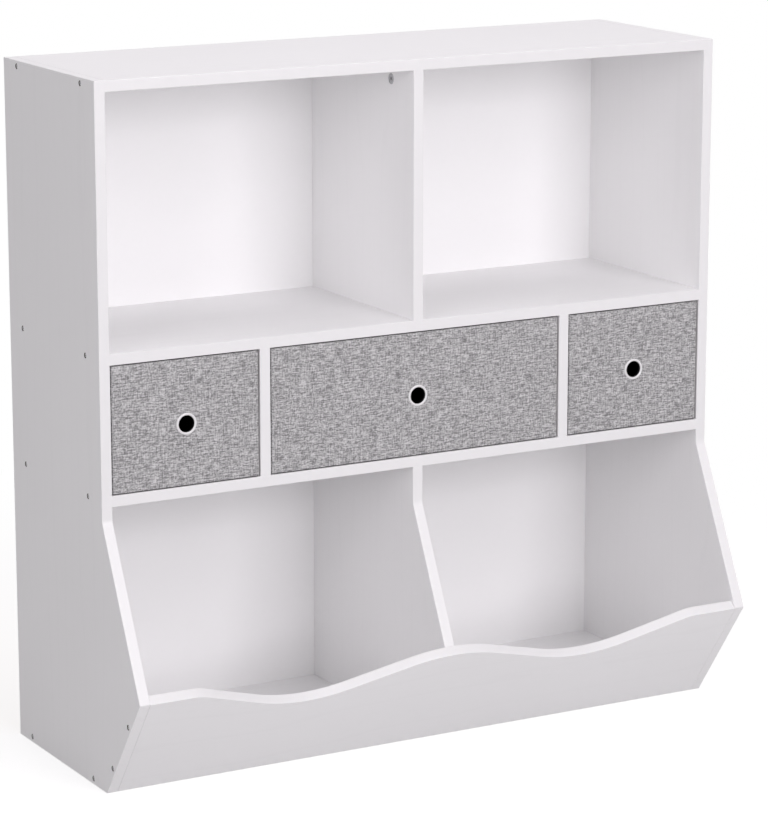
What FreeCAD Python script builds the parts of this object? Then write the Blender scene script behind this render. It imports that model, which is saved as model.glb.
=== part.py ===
import FreeCAD, Part
import math
import os
from FreeCAD import Vector

# A toy storage cabinet for a child's room, made of coated board: two open bays at the top, a
# row of three pull-out fabric drawers, and two toy bins at the bottom, whose front leans out
# and ends in a low panel with a wavy top edge.
#
# Millimetres. The origin is on the floor, in the middle of the outline. X runs to the right,
# Y to the back and Z up. "Front plane" is the plane of the boards' upright front edges.

# Case
WIDTH = 930.0  # over the side panels
HEIGHT = 930.0
SIDE_DEPTH = 284.0  # from the front plane to the rear edges
BOARD = 15.0  # thickness of the coated boards
EDGE_BEVEL = 0.6  # eased corners of the edging strips
BIN_BAY = 367.0  # clear height of the two bins
DRAWER_BAY = 170.0  # clear height of the drawer row
SMALL_CELL = 213.5  # clear width of each outer drawer cell

# Leaning front of the bins
BIN_REACH = 105.0  # how far the nose stands in front of the front plane
NOSE_HEIGHT = 147.0
NOSE_RADIUS = 3.0
KINK_DROP = 19.0  # from the lower shelf down to where the sides start to slope
KINK_RADIUS = 20.0
DIVIDER_SETBACK = 14.0  # lower divider's sloping edge behind the side panels' edge
DIVIDER_KINK_RADIUS = 25.0

# Wavy top edge of the front panel, measured along the panel and from the middle of its width
WAVE_DEPTH = 48.0
WAVE_RADIUS = 205.0  # of the middle crest and of both troughs
TROUGH_OFFSET = 212.5
SHOULDER_OFFSET = 387.0
SHOULDER_RADIUS = 55.0

# Back panels, cut at the shelves
BACK_BOARD = 3.0
BACK_INSET = 2.0  # back panels inside the case's outline
BACK_JOINT = 0.5  # gap where two back panels meet

# Fasteners. A screw or bolt is a plain bar as wide as its thread, and bites into the solid
# board; dowels are driven in. Only the side panels and the cam pockets are drilled.
SCREW_RADIUS = 3.5
SCREW_LENGTH = 50.0
SCREW_INSET = 42.0  # from the boards' front and rear edges
PANEL_SCREW_FROM_FOOT = 43.0
PANEL_SCREW_FROM_NOSE = 52.0
DOWEL_RADIUS = 4.0
DOWEL_LENGTH = 30.0
DOWEL_IN_SHELF = 10.0
DOWEL_FLUTES = 8
CAM_RADIUS = 7.4
CAM_LENGTH = 12.3
CAM_INSET = 61.0  # from the divider's front and rear edges
CAM_DROP = 17.0  # from the top board to the cam's axis
BOLT_RADIUS = 3.0
BOLT_IN_BOARD = 10.0
BORE_CLEARANCE = 0.1  # around every screw, cam and eyelet that passes through a hole

# Fabric drawers: a sewn cover and lining with boards between them
DRAWER_SIDE_GAP = 1.75
DRAWER_TOP_GAP = 1.5
DRAWER_REST_GAP = 0.3
DRAWER_REAR_GAP = 5.0
DRAWER_SETBACK = 0.5  # of the fabric front behind the front plane
COVER_WALL = 1.0
STIFFENER = 2.5
BASE_STIFFENER = 3.0
LINING_WALL = 0.5
POCKET_CLEARANCE = 0.2
EYELET_HEIGHT = 82.5  # of its centre over the drawer's bottom
EYELET_BORE_RADIUS = 11.25
EYELET_WALL = 0.75
EYELET_FLANGE_REACH = 2.5  # of the flange past the barrel
EYELET_FLANGE = 1.2  # thickness of the flange, which lies on the fabric
EYELET_TAIL = 1.0  # barrel standing out behind the lining

# Places that follow from the sizes above
FRONT = (BIN_REACH - SIDE_DEPTH - BACK_BOARD) / 2
REAR = FRONT + SIDE_DEPTH
INNER = WIDTH / 2 - BOARD
BIN_TOP = BOARD + BIN_BAY
DRAWER_FLOOR = BIN_TOP + BOARD
DRAWER_TOP = DRAWER_FLOOR + DRAWER_BAY
BAY_FLOOR = DRAWER_TOP + BOARD
BAY_TOP = HEIGHT - BOARD
DRAWER_DIVIDER = INNER - SMALL_CELL - BOARD / 2

X_AXIS = Vector(1, 0, 0)
Y_AXIS = Vector(0, 1, 0)
Z_AXIS = Vector(0, 0, 1)
ORIGIN = Vector(0, 0, 0)


def inward_of(direction):
    """The normal of a front edge that runs upwards along direction, pointing into the case."""
    return Vector(0, direction.z, -direction.y)


# The front panel leans along LEAN from FOOT to NOSE; above it the sides slope back along RISE.
FOOT = Vector(0, FRONT, 0)
NOSE = Vector(0, FRONT - BIN_REACH, NOSE_HEIGHT)
KINK = Vector(0, FRONT, BIN_TOP - KINK_DROP)
LEAN_LENGTH = (NOSE - FOOT).Length
LEAN = (NOSE - FOOT).normalize()
RISE = (KINK - NOSE).normalize()
PANEL_BACK = FOOT + inward_of(LEAN) * BOARD


def crossing(start, direction, other_start, other_direction):
    """Where two lines in a Y-Z plane meet."""
    gap = other_start - start
    across = direction.y * other_direction.z - direction.z * other_direction.y
    along = (gap.y * other_direction.z - gap.z * other_direction.y) / across
    return start + direction * along


def box(x_range, y_range, z_range):
    """Box between two limits on each axis."""
    low = Vector(x_range[0], y_range[0], z_range[0])
    sizes = [limits[1] - limits[0] for limits in (x_range, y_range, z_range)]
    return Part.makeBox(*sizes, low)


def rounded_profile(corners):
    """Closed wire through (point, radius) corners; a radius of 0 keeps a corner sharp."""
    arcs = []
    for index, (corner, radius) in enumerate(corners):
        to_last = (corners[index - 1][0] - corner).normalize()
        to_next = (corners[(index + 1) % len(corners)][0] - corner).normalize()
        half_angle = to_last.getAngle(to_next) / 2
        reach = radius / math.tan(half_angle)
        middle = (to_last + to_next).normalize() * (radius / math.sin(half_angle) - radius)
        arcs.append((corner + to_last * reach, corner + middle, corner + to_next * reach))
    edges = []
    for index, (start, middle, end) in enumerate(arcs):
        if corners[index][1] > 0:
            edges.append(Part.Arc(start, middle, end).toShape())
        edges.append(Part.makeLine(end, arcs[(index + 1) % len(arcs)][0]))
    return Part.Wire(edges)


def upright_board(corners, x_low):
    """Board of the usual thickness whose outline lies in a Y-Z plane."""
    board = Part.Face(rounded_profile(corners)).extrude(X_AXIS * BOARD)
    board.translate(X_AXIS * x_low)
    return board


def eased(board, is_chosen):
    """Board with the chosen edges eased, as the corners of edging strips are."""
    return board.makeChamfer(EDGE_BEVEL, [edge for edge in board.Edges if is_chosen(edge.BoundBox)])


def on_front(limits):
    """True for a long edge in the front plane, from the edge's limits."""
    return limits.YMax < FRONT + EDGE_BEVEL / 2 and limits.DiagonalLength > 2 * BOARD


def drilled(radius, length, place, direction):
    """Tool for a hole from place, which also reaches a little way out of the surface."""
    mouth = 1.0
    return Part.makeCylinder(radius + BORE_CLEARANCE, length + mouth, place - direction * mouth,
                             direction)


# Fasteners: each list holds (place, direction) of the pieces of one kind


def near_both_edges(inset):
    """Places behind the front plane and in front of the rear edges."""
    return (FRONT + inset, REAR - inset)


def case_screw_places():
    """Screws through the side panels into the shelves and the front panel."""
    heights = [BOARD / 2, BIN_TOP + BOARD / 2, DRAWER_TOP + BOARD / 2, BAY_TOP + BOARD / 2]
    points = [Vector(0, y, z) for z in heights for y in near_both_edges(SCREW_INSET)]
    for along in (PANEL_SCREW_FROM_FOOT, LEAN_LENGTH - PANEL_SCREW_FROM_NOSE):
        points.append(FOOT + LEAN * along + inward_of(LEAN) * (BOARD / 2))
    return [(point + X_AXIS * (side * WIDTH / 2), X_AXIS * -side)
            for side in (-1, 1) for point in points]


def dowel_places():
    """Dowels in the ends of the dividers, from their lower ends up."""
    in_divider = DOWEL_LENGTH - DOWEL_IN_SHELF
    feet = [(0, BOARD), (-DRAWER_DIVIDER, DRAWER_FLOOR), (DRAWER_DIVIDER, DRAWER_FLOOR),
            (0, BAY_FLOOR)]
    tops = [(0, BIN_TOP), (-DRAWER_DIVIDER, DRAWER_TOP), (DRAWER_DIVIDER, DRAWER_TOP)]
    starts = [(x, z - DOWEL_IN_SHELF) for x, z in feet] + [(x, z - in_divider) for x, z in tops]
    return [Vector(x, y, z) for x, z in starts for y in near_both_edges(SCREW_INSET)]


def cam_places():
    """Cam locks in the upper divider's left face, turned about X."""
    return [(Vector(-BOARD / 2, y, BAY_TOP - CAM_DROP), X_AXIS)
            for y in near_both_edges(CAM_INSET)]


def bolt_places():
    """Cam bolts from the middle of each cam up into the top board."""
    return [(Vector(0, y, BAY_TOP - CAM_DROP), Z_AXIS) for y in near_both_edges(CAM_INSET)]


def bars(radius, length, places):
    """Identical round bars, each a solid of its own, in one shape."""
    return Part.makeCompound([Part.makeCylinder(radius, length, *at) for at in places])


def dowels():
    """Fluted dowels, with a flat between each two flutes."""
    corners = [Vector(DOWEL_RADIUS, 0, 0)]
    for flute in range(DOWEL_FLUTES):
        turn = math.radians(360 * (flute + 1) / DOWEL_FLUTES)
        corners.append(Vector(DOWEL_RADIUS * math.cos(turn), DOWEL_RADIUS * math.sin(turn), 0))
    dowel = Part.Face(Part.makePolygon(corners)).extrude(Z_AXIS * DOWEL_LENGTH)
    return Part.makeCompound([dowel.translated(place) for place in dowel_places()])


def fasteners():
    """Every kind of fastener, by name."""
    return {
        "case_screws": bars(SCREW_RADIUS, SCREW_LENGTH, case_screw_places()),
        "divider_dowels": dowels(),
        "cam_locks": bars(CAM_RADIUS, CAM_LENGTH, cam_places()),
        "cam_bolts": bars(BOLT_RADIUS, CAM_DROP + BOLT_IN_BOARD, bolt_places()),
    }


# Case


def side_panel():
    """Left side panel, with its nose, its kink and its screw holes."""
    outline = [(FOOT, 0), (NOSE, NOSE_RADIUS), (KINK, KINK_RADIUS),
               (Vector(0, FRONT, HEIGHT), 0), (Vector(0, REAR, HEIGHT), 0),
               (Vector(0, REAR, 0), 0)]
    panel = upright_board(outline, -WIDTH / 2)

    def on_edging(limits):
        along_face = limits.XLength < EDGE_BEVEL
        at_bottom = limits.ZMax < EDGE_BEVEL
        at_rear = limits.YMin > REAR - EDGE_BEVEL
        return along_face and not at_bottom and not at_rear

    holes = [drilled(SCREW_RADIUS, BOARD, *at) for at in case_screw_places()]
    return eased(panel, on_edging).cut(holes)


def cross_board(z_low):
    """Board from side to side with its front edge in the front plane."""
    return eased(box((-INNER, INNER), (FRONT, REAR), (z_low, z_low + BOARD)), on_front)


def bottom_board():
    """Bottom board, bevelled at the front to meet the leaning panel."""
    corners = [crossing(PANEL_BACK, LEAN, Vector(0, 0, z), Y_AXIS) for z in (BOARD, 0)]
    corners += [Vector(0, REAR, 0), Vector(0, REAR, BOARD)]
    board = Part.Face(Part.makePolygon(corners + corners[:1])).extrude(X_AXIS * 2 * INNER)
    board.translate(X_AXIS * -INNER)
    return board


def divider(x_middle, z_low, z_high):
    """Upright board between two shelves."""
    x_range = (x_middle - BOARD / 2, x_middle + BOARD / 2)
    return eased(box(x_range, (FRONT, REAR), (z_low, z_high)), on_front)


def upper_divider():
    """Divider between the open bays, with pockets for the cam locks in its left face."""
    pockets = [drilled(CAM_RADIUS, CAM_LENGTH, *at) for at in cam_places()]
    return divider(0, BAY_FLOOR, BAY_TOP).cut(pockets)


def lower_divider():
    """Divider between the bins: its front slopes down to the back of the front panel."""
    slope_start = NOSE + inward_of(RISE) * DIVIDER_SETBACK
    kink = crossing(slope_start, RISE, FOOT, Z_AXIS)
    toe = crossing(slope_start, RISE, PANEL_BACK, LEAN)
    heel = crossing(PANEL_BACK, LEAN, Vector(0, 0, BOARD), Y_AXIS)
    outline = [(heel, 0), (toe, 0), (kink, DIVIDER_KINK_RADIUS), (Vector(0, FRONT, BIN_TOP), 0),
               (Vector(0, REAR, BIN_TOP), 0), (Vector(0, REAR, BOARD), 0)]
    board = upright_board(outline, -BOARD / 2)

    def on_slope(limits):
        along_face = limits.XLength < EDGE_BEVEL
        above_panel = limits.ZMin > toe.z - EDGE_BEVEL
        return along_face and above_panel and limits.YMax < REAR - BOARD

    return eased(board, on_slope)


def tangent_ends(centre, radius, other_centre, other_radius, turn):
    """Ends of the straight run that crosses over between two circles; turn is +1 or -1."""
    between = other_centre - centre
    swing = math.acos((radius + other_radius) / between.Length)
    angle = math.atan2(between.y, between.x) + turn * swing
    normal = Vector(math.cos(angle), math.sin(angle), 0)
    return centre + normal * radius, other_centre - normal * other_radius


def wave_edges():
    """Wavy top edge of the front panel, from left to right, in the panel's own plane."""
    crest = Vector(0, LEAN_LENGTH - WAVE_RADIUS, 0)
    trough = Vector(TROUGH_OFFSET, LEAN_LENGTH - WAVE_DEPTH + WAVE_RADIUS, 0)
    shoulder = Vector(SHOULDER_OFFSET, LEAN_LENGTH - SHOULDER_RADIUS, 0)
    crest_end, trough_start = tangent_ends(crest, WAVE_RADIUS, trough, WAVE_RADIUS, 1)
    trough_end, shoulder_start = tangent_ends(trough, WAVE_RADIUS, shoulder, SHOULDER_RADIUS, -1)
    crest_top = crest + Y_AXIS * WAVE_RADIUS
    trough_low = trough - Y_AXIS * WAVE_RADIUS
    shoulder_top = shoulder + Y_AXIS * SHOULDER_RADIUS
    turn_middle = (shoulder_start + shoulder_top) * 0.5 - shoulder
    shoulder_middle = shoulder + turn_middle.normalize() * SHOULDER_RADIUS
    panel_end = Vector(max(INNER, SHOULDER_OFFSET) + BOARD, LEAN_LENGTH, 0)
    right = [Part.makeLine(crest_end, trough_start),
             Part.Arc(trough_start, trough_low, trough_end).toShape(),
             Part.makeLine(trough_end, shoulder_start),
             Part.Arc(shoulder_start, shoulder_middle, shoulder_top).toShape(),
             Part.makeLine(shoulder_top, panel_end)]
    left = [edge.mirror(ORIGIN, X_AXIS) for edge in right]
    mirrored_end = Vector(-crest_end.x, crest_end.y, 0)
    crest_arc = Part.Arc(mirrored_end, crest_top, crest_end).toShape()
    return left[::-1] + [crest_arc] + right, panel_end


def front_wave_panel():
    """Leaning front panel: drawn flat, rounded, tipped forward and cut level at the floor."""
    edges, top_right = wave_edges()
    top_left = Vector(-top_right.x, top_right.y, 0)
    bottom_right = Vector(top_right.x, -2 * BOARD, 0)
    bottom_left = Vector(-top_right.x, -2 * BOARD, 0)
    edges += [Part.makeLine(top_right, bottom_right), Part.makeLine(bottom_right, bottom_left),
              Part.makeLine(bottom_left, top_left)]
    outline = Part.Wire(Part.__sortEdges__(edges))
    panel = Part.Face(outline).extrude(Z_AXIS * -BOARD)
    panel = panel.common(box((-INNER, INNER), (-2 * BOARD, 2 * LEAN_LENGTH), (-BOARD, 0)))

    def on_wave(limits):
        return limits.ZLength < EDGE_BEVEL and limits.YMin > LEAN_LENGTH - WAVE_DEPTH - EDGE_BEVEL

    panel = eased(panel, on_wave)
    panel.rotate(ORIGIN, X_AXIS, math.degrees(math.atan2(LEAN.z, LEAN.y)))
    panel.translate(FOOT)
    below_floor = box((-WIDTH, WIDTH), (-SIDE_DEPTH, SIDE_DEPTH), (-3 * BOARD, 0))
    return panel.cut(below_floor)


def back_panel(z_low, z_high):
    """Thin panel nailed on behind."""
    half_width = WIDTH / 2 - BACK_INSET
    return box((-half_width, half_width), (REAR, REAR + BACK_BOARD), (z_low, z_high))


def case_boards():
    """Every board of the case, by name."""
    left_side = side_panel()
    return {
        "left_side_panel": left_side,
        "right_side_panel": left_side.mirror(ORIGIN, X_AXIS),
        "top_board": cross_board(BAY_TOP),
        "middle_shelf": cross_board(DRAWER_TOP),
        "lower_shelf": cross_board(BIN_TOP),
        "bottom_board": bottom_board(),
        "upper_divider": upper_divider(),
        "lower_divider": lower_divider(),
        "left_drawer_divider": divider(-DRAWER_DIVIDER, DRAWER_FLOOR, DRAWER_TOP),
        "right_drawer_divider": divider(DRAWER_DIVIDER, DRAWER_FLOOR, DRAWER_TOP),
        "front_wave_panel": front_wave_panel(),
    }


def back_panels():
    """Three panels that meet behind the two shelves."""
    lower_joint = BIN_TOP + BOARD / 2
    upper_joint = DRAWER_TOP + BOARD / 2
    half_gap = BACK_JOINT / 2
    return {
        "back_panel_bottom": back_panel(BACK_INSET, lower_joint - half_gap),
        "back_panel_middle": back_panel(lower_joint + half_gap, upper_joint - half_gap),
        "back_panel_top": back_panel(upper_joint + half_gap, HEIGHT - BACK_INSET),
    }


# Drawers


def inset(limits, amount):
    """Limits moved inwards by the same amount at both ends."""
    return (limits[0] + amount, limits[1] - amount)


def near_low(limits, depth, thickness):
    """Limits of a layer at a depth inside the lower end."""
    return (limits[0] + depth, limits[0] + depth + thickness)


def near_high(limits, depth, thickness):
    """Limits of a layer at a depth inside the higher end."""
    return (limits[1] - depth - thickness, limits[1] - depth)


def drawer(name, cell):
    """Parts of one drawer, by name; cell is the X range between the boards beside it."""
    x_range = inset(cell, DRAWER_SIDE_GAP)
    y_range = (FRONT + DRAWER_SETBACK, REAR - DRAWER_REAR_GAP)
    z_range = (DRAWER_FLOOR + DRAWER_REST_GAP, DRAWER_TOP - DRAWER_TOP_GAP)

    def within(depth, z_limits):
        """Box whose upright faces lie at a depth under the drawer's own."""
        return box(inset(x_range, depth), inset(y_range, depth), z_limits)

    under_boards = COVER_WALL + STIFFENER
    wall = under_boards + LINING_WALL
    pocket_z = inset(z_range, COVER_WALL)
    board_z = (pocket_z[0], pocket_z[1] - POCKET_CLEARANCE)
    base_z = (pocket_z[0], pocket_z[0] + BASE_STIFFENER)
    lining_z = (base_z[1], pocket_z[1])
    hollow_z = (lining_z[0] + LINING_WALL, z_range[1])
    eyelet_at = Vector(sum(x_range) / 2, y_range[0], z_range[0] + EYELET_HEIGHT)
    eyelet_hole = drilled(EYELET_BORE_RADIUS + EYELET_WALL, 2 * wall, eyelet_at, Y_AXIS)

    pocket = within(COVER_WALL, pocket_z)
    mouth = within(wall, (pocket_z[0], z_range[1]))
    hollow = within(wall, hollow_z)

    end_board_x = inset(x_range, COVER_WALL + POCKET_CLEARANCE)
    side_board_y = inset(y_range, under_boards + POCKET_CLEARANCE)
    front_y, left_x = (near_low(limits, COVER_WALL, STIFFENER) for limits in (y_range, x_range))
    back_y, right_x = (near_high(limits, COVER_WALL, STIFFENER) for limits in (y_range, x_range))
    return {
        name + "_cover": within(0, z_range).cut([pocket, mouth, eyelet_hole]),
        name + "_front_board": box(end_board_x, front_y, board_z).cut(eyelet_hole),
        name + "_back_board": box(end_board_x, back_y, board_z),
        name + "_left_board": box(left_x, side_board_y, board_z),
        name + "_right_board": box(right_x, side_board_y, board_z),
        name + "_base_board": within(under_boards + POCKET_CLEARANCE, base_z),
        name + "_lining": within(under_boards, lining_z).cut([hollow, eyelet_hole]),
        name + "_eyelet": eyelet(eyelet_at, wall),
    }


def eyelet(place, wall):
    """Ring with a flat flange in front of the fabric and a barrel through the wall."""
    barrel_radius = EYELET_BORE_RADIUS + EYELET_WALL
    flange_radius = barrel_radius + EYELET_FLANGE_REACH
    tail = -(wall + EYELET_TAIL)
    profile = [(EYELET_BORE_RADIUS, tail), (barrel_radius, tail), (barrel_radius, 0),
               (flange_radius, 0), (flange_radius, EYELET_FLANGE),
               (EYELET_BORE_RADIUS, EYELET_FLANGE)]
    points = [Vector(radius, 0, along) for radius, along in profile]
    ring = Part.Face(Part.makePolygon(points + points[:1])).revolve(ORIGIN, Z_AXIS, 360)
    ring.Placement = FreeCAD.Placement(place, FreeCAD.Rotation(Z_AXIS, -Y_AXIS))
    return ring


def drawers():
    """Parts of the three drawers, by name."""
    inner_edge = DRAWER_DIVIDER - BOARD / 2
    outer_edge = DRAWER_DIVIDER + BOARD / 2
    cells = {
        "left_drawer": (-INNER, -outer_edge),
        "middle_drawer": (-inner_edge, inner_edge),
        "right_drawer": (outer_edge, INNER),
    }
    parts = {}
    for name, cell in cells.items():
        parts.update(drawer(name, cell))
    return parts


def build():
    """Every sub-part of the cabinet, by name."""
    return {**case_boards(), **back_panels(), **fasteners(), **drawers()}


os.makedirs("parts", exist_ok=True)
for node, shape in build().items():
    shape.exportStep("parts/" + node + ".step")
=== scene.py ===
# A toy storage cabinet with three fabric drawers: its looks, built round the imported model.
# Metres, in the model's own frame: X to the right, Y to the back, Z up, the floor at zero.

import math
from contextlib import contextmanager

import bmesh
import bpy
from mathutils import Matrix, Vector


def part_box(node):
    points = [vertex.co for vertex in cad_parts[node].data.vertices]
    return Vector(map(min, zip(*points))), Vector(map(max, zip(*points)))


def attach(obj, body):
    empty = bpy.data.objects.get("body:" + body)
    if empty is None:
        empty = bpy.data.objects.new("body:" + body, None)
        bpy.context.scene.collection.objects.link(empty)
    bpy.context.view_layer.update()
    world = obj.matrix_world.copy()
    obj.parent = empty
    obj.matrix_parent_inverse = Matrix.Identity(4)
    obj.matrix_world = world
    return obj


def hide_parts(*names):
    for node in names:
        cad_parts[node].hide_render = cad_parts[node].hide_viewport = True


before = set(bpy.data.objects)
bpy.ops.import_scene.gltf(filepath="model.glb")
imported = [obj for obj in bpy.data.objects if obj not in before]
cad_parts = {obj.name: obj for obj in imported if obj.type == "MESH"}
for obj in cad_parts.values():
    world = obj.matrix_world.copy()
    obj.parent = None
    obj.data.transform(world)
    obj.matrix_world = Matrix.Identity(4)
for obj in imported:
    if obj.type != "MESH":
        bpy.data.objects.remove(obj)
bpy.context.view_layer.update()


# Shelves and dividers
#
# 15 mm chipboard faced with white melamine that carries a faint embossed wood grain. A white
# plastic strip with eased corners is ironed onto each front edge, its ends tight against their
# neighbours and a hairline joint behind them. The rear edges, under the back panels, stay raw.

CROSS_BOARDS = ["top_board", "middle_shelf", "lower_shelf", "bottom_board"]
DIVIDERS = ["upper_divider", "lower_divider", "left_drawer_divider", "right_drawer_divider"]
FRONT_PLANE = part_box("top_board")[0].y
EASING, SEATING = 0.0003, 0.0006
SEATED_DEPTH, FREE_DEPTH = 0.003, 0.008
WELD, HAIR, NEAR_FLOOR = 0.000002, 0.00001, 0.001
FACING = 0.9  # least part of a normal along the axis that a face looks along
COATED, EDGED, RAW = range(3)


def begin(piece):
    """Nothing but the piece is selected, and it is the active object."""
    bpy.ops.object.select_all(action="DESELECT")
    piece.select_set(True)
    bpy.context.view_layer.objects.active = piece


@contextmanager
def editing(piece, parts="EDGE"):
    """Edit mode by edges or faces, with all of the piece selected."""
    begin(piece)
    bpy.ops.object.mode_set(mode="EDIT")
    bpy.ops.mesh.select_mode(type=parts)
    bpy.ops.mesh.select_all(action="SELECT")
    yield
    bpy.ops.object.mode_set(mode="OBJECT")


def apply_modifier(piece, kind, **settings):
    """Puts a modifier on the piece and applies it."""
    begin(piece)
    modifier = piece.modifiers.new(kind.lower(), kind)
    for setting, value in settings.items():
        setattr(modifier, setting, value)
    bpy.ops.object.modifier_apply(modifier=modifier.name)


def placed(name, mesh):
    """A new piece with this mesh."""
    piece = bpy.data.objects.new(name, mesh)
    bpy.context.collection.objects.link(piece)
    return piece


def welded(node, name):
    """The board of a CAD node as one closed mesh with whole flat faces."""
    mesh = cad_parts[node].data.copy()
    mesh.materials.clear()
    piece = placed(name, mesh)
    with editing(piece):
        bpy.ops.mesh.remove_doubles(threshold=WELD)
        bpy.ops.mesh.dissolve_limited(angle_limit=math.radians(0.5))
    return piece


def slice_at(point, normal, **settings):
    """Cuts the mesh in edit mode along a plane."""
    bpy.ops.mesh.select_all(action="SELECT")
    bpy.ops.mesh.bisect(plane_co=point, plane_no=normal, **settings)


def polish(piece, width, segments=2, turn=30):
    """Eases every sharp edge and keeps the flat faces flat in the shading."""
    apply_modifier(piece, "BEVEL", width=width, segments=segments, limit_method="ANGLE",
                   angle_limit=math.radians(turn))
    for vertex in piece.data.vertices:
        vertex.co.z = max(vertex.co.z, 0.0)
    begin(piece)
    bpy.ops.object.shade_smooth()
    apply_modifier(piece, "WEIGHTED_NORMAL", keep_sharp=False, weight=90)


def dress(piece, *materials):
    """Adds materials to the piece, of which the first covers it."""
    for material in materials:
        piece.data.materials.append(material)


def stand_for(piece, node, body):
    """The piece is shown in place of its CAD node and moves with its body."""
    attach(piece, body)
    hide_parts(node)


def fill(tree, node, inputs):
    """Puts values or links in a shader node's sockets."""
    for socket, value in inputs.items():
        if isinstance(value, bpy.types.NodeSocket):
            tree.links.new(value, node.inputs[socket])
        else:
            node.inputs[socket].default_value = value


def shader(tree, kind, inputs=None, **settings):
    """A shader node with its settings and inputs."""
    made = tree.nodes.new("ShaderNode" + kind)
    for setting, value in settings.items():
        setattr(made, setting, value)
    fill(tree, made, inputs or {})
    return made


def own_place(tree):
    """The place on the piece, in metres."""
    return shader(tree, "TexCoord").outputs["Object"]


def mapped(tree, vector, **inputs):
    """The vector after a Mapping node with the given Location, Rotation or Scale."""
    return shader(tree, "Mapping", {"Vector": vector, **inputs}).outputs["Vector"]


def noise(tree, vector, scale, detail, **inputs):
    """Cloudy noise between 0 and 1."""
    return shader(tree, "TexNoise", {"Vector": vector, "Scale": scale, "Detail": detail,
                                     **inputs}).outputs["Fac"]


def ranged(tree, value, wanted, given=(0.0, 1.0), **settings):
    """The value carried over from the given range to the wanted one."""
    return shader(tree, "MapRange", {"Value": value, "From Min": given[0], "From Max": given[1],
                                     "To Min": wanted[0], "To Max": wanted[1]},
                  **settings).outputs["Result"]


def reckon(tree, operation, *values):
    """One step of arithmetic on numbers or sockets."""
    return shader(tree, "Math", dict(enumerate(values)), operation=operation).outputs["Value"]


def blend(tree, factor, first, second, mode="MIX"):
    """Two colours, given as RGB or as sockets, blended by the factor."""
    first, second = ((*side, 1) if isinstance(side, tuple) else side for side in (first, second))
    return shader(tree, "Mix", {"Factor": factor, 6: first, 7: second}, data_type="RGBA",
                  blend_type=mode).outputs[2]


def relief(tree, height, strength, distance):
    """The normal of a surface that the height raises."""
    return shader(tree, "Bump", {"Height": height, "Strength": strength,
                                 "Distance": distance}).outputs["Normal"]


def finish_named(name):
    """A new material: its node tree and its Principled shader."""
    material = bpy.data.materials.new(name)
    material.use_nodes = True
    return material, material.node_tree, material.node_tree.nodes["Principled BSDF"]


def effect_named(name, *outputs):
    """An empty shader group on a vector: its tree, the vector and its output node."""
    tree = bpy.data.node_groups.new(name, "ShaderNodeTree")
    tree.interface.new_socket("Vector", in_out="INPUT", socket_type="NodeSocketVector")
    for socket in outputs:
        tree.interface.new_socket(socket, in_out="OUTPUT", socket_type="NodeSocketFloat")
    given = tree.nodes.new("NodeGroupInput").outputs["Vector"]
    return tree, given, tree.nodes.new("NodeGroupOutput")


def wood_emboss():
    """Growth rings and pores that run along X of the vector, as a height."""
    tree, given, result = effect_named("wood_emboss", "Height")
    rings = shader(tree, "TexWave", {"Vector": mapped(tree, given, Scale=(0.10, 1, 1)),
                                     "Scale": 11.0, "Distortion": 9.0, "Detail": 2.0,
                                     "Detail Scale": 1.4, "Detail Roughness": 0.55},
                   wave_type="BANDS", bands_direction="Y", wave_profile="SAW").outputs["Fac"]
    pores = noise(tree, mapped(tree, given, Scale=(0.03, 1, 1)), 900.0, 2.0, Roughness=0.6)
    pits = ranged(tree, pores, (0.0, 1.0), (0.34, 0.46))
    edges = ranged(tree, rings, (1.0, 0.0), (0.86, 1.0))
    height = reckon(tree, "MULTIPLY_ADD", pits, 0.4, reckon(tree, "MULTIPLY", edges, 0.6))
    fill(tree, result, {"Height": height})
    return tree


EMBOSS = wood_emboss()


def white_melamine(name, turn):
    """White coated face whose grain runs along X, turned by the given angles."""
    material, tree, surface = finish_named(name)
    turned = mapped(tree, own_place(tree), Rotation=turn)
    grain = shader(tree, "Group", {"Vector": turned}, node_tree=EMBOSS).outputs["Height"]
    fill(tree, surface, {
        "Base Color": blend(tree, grain, (0.906, 0.902, 0.906), (0.928, 0.924, 0.928)),
        "Roughness": ranged(tree, noise(tree, turned, 9.0, 3.0), (0.36, 0.50)),
        "Normal": relief(tree, grain, 0.25, 0.0001),
        "Specular IOR Level": 0.35})
    return material


def edging_strip():
    """Smooth white plastic, a shade greyer than the faces."""
    material, tree, surface = finish_named("edging_strip")
    uneven = noise(tree, own_place(tree), 70.0, 3.0)
    fill(tree, surface, {
        "Base Color": blend(tree, uneven, (0.792, 0.788, 0.792), (0.806, 0.802, 0.806)),
        "Roughness": ranged(tree, uneven, (0.28, 0.42)),
        "Normal": relief(tree, uneven, 0.05, 0.0004),
        "Specular IOR Level": 0.4})
    return material


def raw_chipboard(name, level):
    """Cut chipboard: pressed flakes of several browns with small voids painted darker as shade,
    the whole darkened to a level that below 1 is painted shade.
    """
    material, tree, surface = finish_named(name)
    flat = mapped(tree, own_place(tree), Scale=(1, 1, 1.6))
    flakes = shader(tree, "TexVoronoi", {"Vector": flat, "Scale": 520.0, "Randomness": 1.0})
    tint = shader(tree, "SeparateColor", {"Color": flakes.outputs["Color"]}).outputs["Red"]
    browns = blend(tree, tint, (0.36, 0.24, 0.13), (0.66, 0.51, 0.33))
    # The voids are sunk by the bump and darkened in colour as painted shade in their hollows.
    shaded_voids = ranged(tree, noise(tree, flat, 1400.0, 3.0), (0.35 * level, level), (0.30, 0.45))
    fill(tree, surface, {"Base Color": blend(tree, 1.0, browns, shaded_voids, "MULTIPLY"),
                         "Roughness": 0.9, "Normal": relief(tree, shaded_voids, 0.6, 0.0003)})
    return material


MELAMINE_ACROSS = white_melamine("white_melamine_across", (0, 0, 0))
MELAMINE_UPRIGHT = white_melamine("white_melamine_upright", (0, math.radians(90), 0))
EDGING = edging_strip()
CHIPBOARD = raw_chipboard("raw_chipboard", 1.0)


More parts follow.
